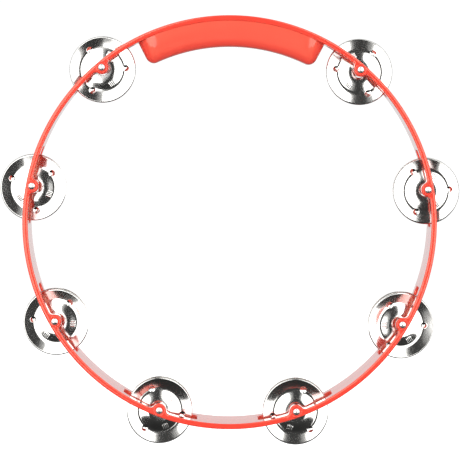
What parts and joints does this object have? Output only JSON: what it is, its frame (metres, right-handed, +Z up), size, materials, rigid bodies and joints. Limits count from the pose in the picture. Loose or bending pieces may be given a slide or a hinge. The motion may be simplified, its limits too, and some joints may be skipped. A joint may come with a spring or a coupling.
{
  "type": "tambourine",
  "caption": "Hand-held headless tambourine: a thin moulded ring with a curved grip at the top and pairs of pressed steel jingles hanging on cross pins in its windows.",
  "frame": {"origin": "middle of the hand grip, half way between its inner face and the ring's outer edge, at mid depth; the instrument hangs upright from it", "axes": "+Z up; the ring's axis is Y, the front of the ring with the pins' domed heads faces -Y; +X to the right as seen from the front"},
  "size_m": [0.2838, 0.0494, 0.2651],
  "materials": {
    "ring_plastic": "glossy moulded red plastic",
    "grip_plastic": "satin moulded red plastic",
    "pin_steel": "polished nickel-plated steel",
    "jingle_steel": "bright pressed nickel-plated steel sheet"
  },
  "bodies": {
    "ring": {"frame": "ring_plastic", "hand_grip": "grip_plastic"},
    "pin_1": {"pin_1": "pin_steel"},
    "front_jingle_1": {"jingle_front_1": "jingle_steel"},
    "rear_jingle_1": {"jingle_rear_1": "jingle_steel"},
    "pin_2": {"pin_2": "pin_steel"},
    "front_jingle_2": {"jingle_front_2": "jingle_steel"},
    "rear_jingle_2": {"jingle_rear_2": "jingle_steel"},
    "pin_3": {"pin_3": "pin_steel"},
    "front_jingle_3": {"jingle_front_3": "jingle_steel"},
    "rear_jingle_3": {"jingle_rear_3": "jingle_steel"},
    "pin_4": {"pin_4": "pin_steel"},
    "front_jingle_4": {"jingle_front_4": "jingle_steel"},
    "rear_jingle_4": {"jingle_rear_4": "jingle_steel"},
    "pin_5": {"pin_5": "pin_steel"},
    "front_jingle_5": {"jingle_front_5": "jingle_steel"},
    "rear_jingle_5": {"jingle_rear_5": "jingle_steel"},
    "pin_6": {"pin_6": "pin_steel"},
    "front_jingle_6": {"jingle_front_6": "jingle_steel"},
    "rear_jingle_6": {"jingle_rear_6": "jingle_steel"},
    "pin_7": {"pin_7": "pin_steel"},
    "front_jingle_7": {"jingle_front_7": "jingle_steel"},
    "rear_jingle_7": {"jingle_rear_7": "jingle_steel"},
    "pin_8": {"pin_8": "pin_steel"},
    "front_jingle_8": {"jingle_front_8": "jingle_steel"},
    "rear_jingle_8": {"jingle_rear_8": "jingle_steel"}
  },
  "joints": [
    {"name": "jingle_1_spin", "type": "hinge", "parent": "ring", "child": "pin_1", "pos_m": [0.07919, 0, -0.02262], "axis": [0, 1, 0], "continuous": true},
    {"name": "front_jingle_1_slide", "type": "slide", "parent": "pin_1", "child": "front_jingle_1", "axis": [0, -1, 0], "range_m": [-0.0034, 0.0038]},
    {"name": "rear_jingle_1_slide", "type": "slide", "parent": "pin_1", "child": "rear_jingle_1", "axis": [0, 1, 0], "range_m": [-0.0034, 0.0038]},
    {"name": "jingle_2_spin", "type": "hinge", "parent": "ring", "child": "pin_2", "pos_m": [0.12133, 0, -0.09561], "axis": [0, 1, 0], "continuous": true},
    {"name": "front_jingle_2_slide", "type": "slide", "parent": "pin_2", "child": "front_jingle_2", "axis": [0, -1, 0], "range_m": [-0.0034, 0.0038]},
    {"name": "rear_jingle_2_slide", "type": "slide", "parent": "pin_2", "child": "rear_jingle_2", "axis": [0, 1, 0], "range_m": [-0.0034, 0.0038]},
    {"name": "jingle_3_spin", "type": "hinge", "parent": "ring", "child": "pin_3", "pos_m": [0.10669, 0, -0.1786], "axis": [0, 1, 0], "continuous": true},
    {"name": "front_jingle_3_slide", "type": "slide", "parent": "pin_3", "child": "front_jingle_3", "axis": [0, -1, 0], "range_m": [-0.0034, 0.0038]},
    {"name": "rear_jingle_3_slide", "type": "slide", "parent": "pin_3", "child": "rear_jingle_3", "axis": [0, 1, 0], "range_m": [-0.0034, 0.0038]},
    {"name": "jingle_4_spin", "type": "hinge", "parent": "ring", "child": "pin_4", "pos_m": [0.04214, 0, -0.23277], "axis": [0, 1, 0], "continuous": true},
    {"name": "front_jingle_4_slide", "type": "slide", "parent": "pin_4", "child": "front_jingle_4", "axis": [0, -1, 0], "range_m": [-0.0034, 0.0038]},
    {"name": "rear_jingle_4_slide", "type": "slide", "parent": "pin_4", "child": "rear_jingle_4", "axis": [0, 1, 0], "range_m": [-0.0034, 0.0038]},
    {"name": "jingle_5_spin", "type": "hinge", "parent": "ring", "child": "pin_5", "pos_m": [-0.04214, 0, -0.23277], "axis": [0, 1, 0], "continuous": true},
    {"name": "front_jingle_5_slide", "type": "slide", "parent": "pin_5", "child": "front_jingle_5", "axis": [0, -1, 0], "range_m": [-0.0034, 0.0038]},
    {"name": "rear_jingle_5_slide", "type": "slide", "parent": "pin_5", "child": "rear_jingle_5", "axis": [0, 1, 0], "range_m": [-0.0034, 0.0038]},
    {"name": "jingle_6_spin", "type": "hinge", "parent": "ring", "child": "pin_6", "pos_m": [-0.10669, 0, -0.1786], "axis": [0, 1, 0], "continuous": true},
    {"name": "front_jingle_6_slide", "type": "slide", "parent": "pin_6", "child": "front_jingle_6", "axis": [0, -1, 0], "range_m": [-0.0034, 0.0038]},
    {"name": "rear_jingle_6_slide", "type": "slide", "parent": "pin_6", "child": "rear_jingle_6", "axis": [0, 1, 0], "range_m": [-0.0034, 0.0038]},
    {"name": "jingle_7_spin", "type": "hinge", "parent": "ring", "child": "pin_7", "pos_m": [-0.12133, 0, -0.09561], "axis": [0, 1, 0], "continuous": true},
    {"name": "front_jingle_7_slide", "type": "slide", "parent": "pin_7", "child": "front_jingle_7", "axis": [0, -1, 0], "range_m": [-0.0034, 0.0038]},
    {"name": "rear_jingle_7_slide", "type": "slide", "parent": "pin_7", "child": "rear_jingle_7", "axis": [0, 1, 0], "range_m": [-0.0034, 0.0038]},
    {"name": "jingle_8_spin", "type": "hinge", "parent": "ring", "child": "pin_8", "pos_m": [-0.07919, 0, -0.02262], "axis": [0, 1, 0], "continuous": true},
    {"name": "front_jingle_8_slide", "type": "slide", "parent": "pin_8", "child": "front_jingle_8", "axis": [0, -1, 0], "range_m": [-0.0034, 0.0038]},
    {"name": "rear_jingle_8_slide", "type": "slide", "parent": "pin_8", "child": "rear_jingle_8", "axis": [0, 1, 0], "range_m": [-0.0034, 0.0038]}
  ]
}
